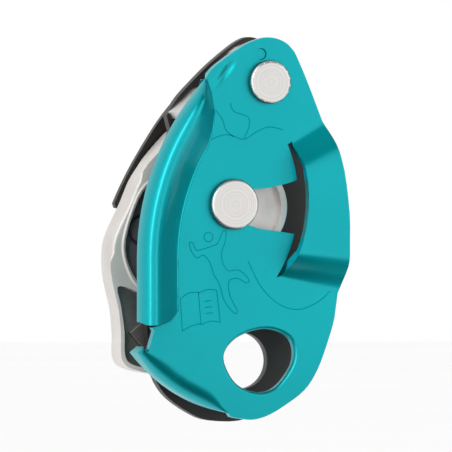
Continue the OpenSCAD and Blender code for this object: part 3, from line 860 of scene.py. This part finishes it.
# %% Break the edges of the plain parts
plain_parts = {
    "fixed_side_plate": ("dark_plate", 0.35),
    "top_spacer": ("satin_alloy", 0.4),
    "friction_block": ("plain_steel", 0.4),
    "crank_arm": ("cast_steel", 0.4),
    "axle_nut": ("plain_steel", 0.25),
    "rear_cover": ("black_moulding", 0.6),
    # The cam gets the darkened steel, which paints shade onto it.
    "cam": ("cam_steel_painted_shade", 0.3),
    "lever_insert": ("grey_moulding", 0.3),
    "insert_badge": ("grey_moulding", 0.2),
    "plate_rivet": ("rivet_head_steel", 0.35),
    "cam_axle": ("axle_head_steel", 0.35),
}
# The sides of the rivet and axle heads get the dark steel as painted shade.
pin_side_shade = {"plate_rivet": "painted_shade_steel", "cam_axle": "painted_shade_steel"}
for node, (finish, radius) in plain_parts.items():
    with_broken_edges(node, finish, radius, side_shade_finish=pin_side_shade.get(node))

# %% [markdown]
# ## The lever
#
# The lever is a tumbled light-alloy casting, so nothing on its outside is sharp: the outer wall
# rolls into the front and more fully into the back, where a thumb bears. Its exact copy gets those
# two large radii first, picked by where the walls face, and the small edges are broken after that.

# %% Round the lever casting
lever_front, lever_back = span_of("lever_frame", 1)
casting = bmesh.new()
casting.from_mesh(nodes["lever_frame"].data)
weld(casting, 0.000002)
bmesh.ops.dissolve_limit(casting, angle_limit=math.radians(1), verts=casting.verts[:], edges=casting.edges[:],
                         delimit={"NORMAL"})


def outer_edges(shape, y, low_z, high_z):
    """Edges of the outer outline at one face, between two heights in millimetres."""
    chosen = []
    for edge in shape.edges:
        middle = (edge.verts[0].co + edge.verts[1].co) / 2 / MM
        if any(abs(v.co.y / MM - y) > 0.01 for v in edge.verts) or not low_z < middle.z < high_z:
            continue
        walls = [f for f in edge.link_faces if abs(f.normal.y) < 0.5]
        spine = Vector((-24.5, middle.y, min(max(middle.z, 4), 42)))
        if walls and len(edge.link_faces) == 2 and walls[0].normal.dot(middle - spine) > 0:
            chosen.append(edge)
    return chosen


BACK_ROUND = 2.6
FRONT_ROUND = 1.4
back_edges = outer_edges(casting, lever_back, -10, 54)
bmesh.ops.bevel(casting, geom=back_edges, offset=BACK_ROUND * MM, segments=6, affect="EDGES",
                profile=0.5, material=-1, clamp_overlap=False)
front_edges = outer_edges(casting, lever_front, 27, 49)
bmesh.ops.bevel(casting, geom=front_edges, offset=FRONT_ROUND * MM, segments=6, affect="EDGES",
                profile=0.5, material=-1, clamp_overlap=False)
print("lever: rounded %d back and %d front edges" % (len(back_edges), len(front_edges)))
lever_piece = make_piece("lever_casting", casting, "cast_alloy", node="lever_frame")
round_edges(lever_piece, 0.4)

# %% [markdown]
# ### Small features of the lever
#
# A low polished bead frames the moulded insert, and the insert carries a plain ring on its badge.
# The lower pocket is left rough from the mould, with a raised arrow that shows which way to pull.

# %% Frame the insert
INSERT = [(-23.6, 46.6), (-27, 42.4), (-30.5, 32), (-29.7, 25.3), (-26.3, 20), (-21, 19.6),
          (-18.4, 23), (-18.2, 34), (-18.6, 43.4), (-20.4, 46.6)]
BEAD = [(0.35, 0.7), (0.4, -0.1), (0.62, -0.36), (0.95, -0.42), (1.25, -0.3), (1.5, 0.1), (1.55, 0.5)]
insert_ring = smooth_ring(INSERT, 6)
next_points = insert_ring[1:] + insert_ring[:1]
turned = sum((b[0] - a[0]) * (b[1] + a[1]) for a, b in zip(insert_ring, next_points))
outward = 1 if turned > 0 else -1
bead = bmesh.new()
skin(bead, [[(x, lever_front + rise, z) for x, z in offset_line(insert_ring, outward * out, True)]
            for out, rise in BEAD], closed=True)
bmesh.ops.recalc_face_normals(bead, faces=bead.faces[:])
make_piece("insert_bead", bead, "cast_alloy", body="lever")
print("bead: %d points round" % len(insert_ring))

# %% Ring on the badge
badge_x, _, badge_z = middle_of("insert_badge")
badge_front = span_of("insert_badge", 1)[0]
ring = bmesh.new()
start = add_line(ring, [(badge_x + r, badge_front + y, badge_z) for r, y in
                        [(3.3, 0.1), (3.4, -0.12), (3.7, -0.2), (4.0, -0.12), (4.1, 0.1)]])
bmesh.ops.spin(ring, geom=[v for v in ring.verts] + start, cent=mm(badge_x, 0, badge_z), axis=(0, 1, 0),
               angle=math.radians(360), steps=64, use_merge=True)
weld(ring)
bmesh.ops.recalc_face_normals(ring, faces=ring.faces[:])
make_piece("badge_ring", ring, "black_moulding", body="lever")

# %% Arrow and rough floor of the lower pocket
FLOOR = 5.2
FLOOR_LIFT = 0.03
floor_ring = smooth_ring([
    (-33.2, 19.4), (-32.2, 14.6), (-31.2, 7.6), (-31.1, 2), (-29.6, -0.7), (-24.8, -1.9), (-20.2, -1.6),
    (-17.2, 3), (-17, 12.6), (-18.4, 16.2), (-22, 17.2), (-26.6, 17.8), (-30.2, 19.3)], 5)
pocket = bmesh.new()
add_line(pocket, [(x, FLOOR - FLOOR_LIFT, z) for x, z in floor_ring], closed=True)
bmesh.ops.contextual_create(pocket, geom=pocket.edges[:])
for face in pocket.faces:
    face.normal_update()
bmesh.ops.reverse_faces(pocket, faces=[f for f in pocket.faces if f.normal.y > 0])
make_piece("pocket_floor", pocket, "rough_cast", body="lever")
arrow = bmesh.new()
ARROW = [(-29.4, 7.4), (-24.6, 11.2), (-19.4, 11.2), (-19.4, 3.6), (-25.4, 3.2)]
ARROW_RISE = 1.5
add_line(arrow, [(x, FLOOR, z) for x, z in ARROW], closed=True)
bmesh.ops.contextual_create(arrow, geom=arrow.edges[:])
lifted = bmesh.ops.extrude_face_region(arrow, geom=arrow.faces[:])["geom"]
lifted_points = [v for v in lifted if isinstance(v, bmesh.types.BMVert)]
bmesh.ops.translate(arrow, verts=lifted_points, vec=mm(0, -ARROW_RISE, 0))
bmesh.ops.recalc_face_normals(arrow, faces=arrow.faces[:])
round_edges(make_piece("pocket_arrow", arrow, "rough_cast", body="lever"), 0.3)

# %% Give every remaining part its finish
remaining_finish = {
    "rivet_sleeve": "plain_steel",
    "plate_wave_washer": "plain_steel",
    "spacer_pins": "plain_steel",
    "friction_block_screws": "plain_steel",
    "cam_bush": "bronze",
    "cam_return_spring": "spring_steel",
    "spring_anchor_pin": "plain_steel",
    "cam_stop_pin": "plain_steel",
    "thrust_washer": "bronze",
    "nut_washer": "plain_steel",
    "lever_pivot_pin": "cast_steel",
    "lever_washer": "plain_steel",
    "lever_bush": "bronze",
    "lever_spring": "spring_steel",
    "pivot_clip": "spring_steel",
    "insert_screws": "plain_steel",
    "cover_screws": "plain_steel",
}
for node, finish in remaining_finish.items():
    materials = nodes[node].data.materials
    materials.clear()
    materials.append(finishes[finish])
print("finished %d parts as they are" % len(remaining_finish))

# %% [markdown]
# ## The light
#
# A small metal object reads by what it reflects. A pale floor and pale surroundings keep the
# background near white, a tall soft panel on the left draws the long highlight down the lip, and
# a weaker one on the right fills the ramps. Three dark cards out of sight, to the right, above and
# below, give the bends something dark to reflect.

# %% Floor
floor_shape = bmesh.new()
bmesh.ops.create_grid(floor_shape, x_segments=1, y_segments=1, size=6.0)
bmesh.ops.translate(floor_shape, verts=floor_shape.verts[:], vec=Vector((0, 0, -0.06)))
floor_mesh = bpy.data.meshes.new("floor")
floor_shape.to_mesh(floor_mesh)
floor_shape.free()
floor = bpy.data.objects.new("floor", floor_mesh)
bpy.context.scene.collection.objects.link(floor)
floor_finish, floor_tree, floor_shader = new_finish("pale_floor", 0.0, 0.6)
floor_marks = use_group(floor_tree, grain_group, Scale=300.0, Depth=0.02, Patch_Scale=2.0)
two_tones(floor_tree, floor_shader, floor_marks.outputs["Patches"], (0.95, 0.95, 0.95), (0.97, 0.97, 0.97))
floor_mesh.materials.append(floor_finish)

# %% World and lamps
world = bpy.data.worlds.new("studio")
world.use_nodes = True
world.node_tree.nodes["Background"].inputs["Color"].default_value = (1, 1, 1, 1)
world.node_tree.nodes["Background"].inputs["Strength"].default_value = 1.0
bpy.context.scene.world = world
bpy.context.scene.view_settings.view_transform = "Standard"


def panel(name, place, size, power):
    """A soft rectangular lamp aimed at the middle of the object."""
    data = bpy.data.lights.new(name, "AREA")
    data.shape = "RECTANGLE"
    data.size, data.size_y = size
    data.energy = power
    lamp = bpy.data.objects.new(name, data)
    lamp.location = aim + Vector(place)
    lamp.rotation_mode = "QUATERNION"
    lamp.rotation_quaternion = (-Vector(place)).to_track_quat("-Z", "Y")
    bpy.context.scene.collection.objects.link(lamp)
    return lamp


def flag(name, corners):
    """A dark card out of the camera's sight, for the metal to reflect."""
    shape = bmesh.new()
    add_line(shape, corners, closed=True)
    bmesh.ops.contextual_create(shape, geom=shape.edges[:])
    mesh = bpy.data.meshes.new(name)
    shape.to_mesh(mesh)
    shape.free()
    mesh.materials.append(finishes["black_moulding"])
    card = bpy.data.objects.new(name, mesh)
    bpy.context.scene.collection.objects.link(card)
    card.visible_camera = False
    card.visible_diffuse = False
    card.visible_shadow = False


flag("flag_right", [(420, -260, -50), (420, 120, -50), (420, 120, 420), (420, -260, 420)])
flag("flag_above", [(-220, -260, 250), (220, -260, 250), (220, -50, 250), (-220, -50, 250)])
flag("flag_below", [(-150, -170, -57), (60, -170, -57), (60, -24, -57), (-150, -24, -57)])
panel("key_left", (-0.42, -0.5, 0.3), (0.08, 0.75), 2.2)
panel("fill_right", (0.6, -0.4, 0.2), (0.5, 0.5), 0.8)
print("lamps placed")
